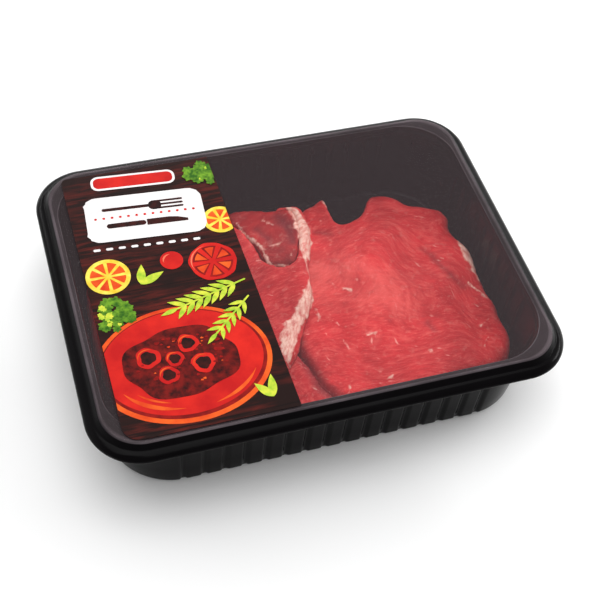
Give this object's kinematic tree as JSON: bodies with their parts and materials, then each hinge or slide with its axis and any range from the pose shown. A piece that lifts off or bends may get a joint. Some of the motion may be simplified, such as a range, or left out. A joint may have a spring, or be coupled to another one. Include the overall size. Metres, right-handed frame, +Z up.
{
  "type": "meat tray pack",
  "caption": "Shallow black tray with rounded corners, stepped rim and fluted walls, sealed with clear film and a printed label over slices of raw red meat.",
  "frame": {"origin": "middle of the tray's foot, on the surface it stands on", "axes": "+X along the tray's long side, away from the label; +Y along its short side; +Z up, out of the sealed top"},
  "size_m": [0.227, 0.175, 0.0485],
  "materials": {
    "tray_plastic": "black thermoformed sheet, satin gloss",
    "clear_film": "clear lidding film, thin and glossy",
    "label_print": "printed label, satin",
    "raw_meat": "moist raw beef, fine grained",
    "marbled_meat": "moist raw beef with fat lines"
  },
  "bodies": {
    "root": {"tray": "tray_plastic", "lidding_film": "clear_film", "label": "label_print", "slice_large": "raw_meat", "slice_under": "raw_meat", "slice_marbled": "marbled_meat", "slice_left": "raw_meat"}
  },
  "joints": []
}
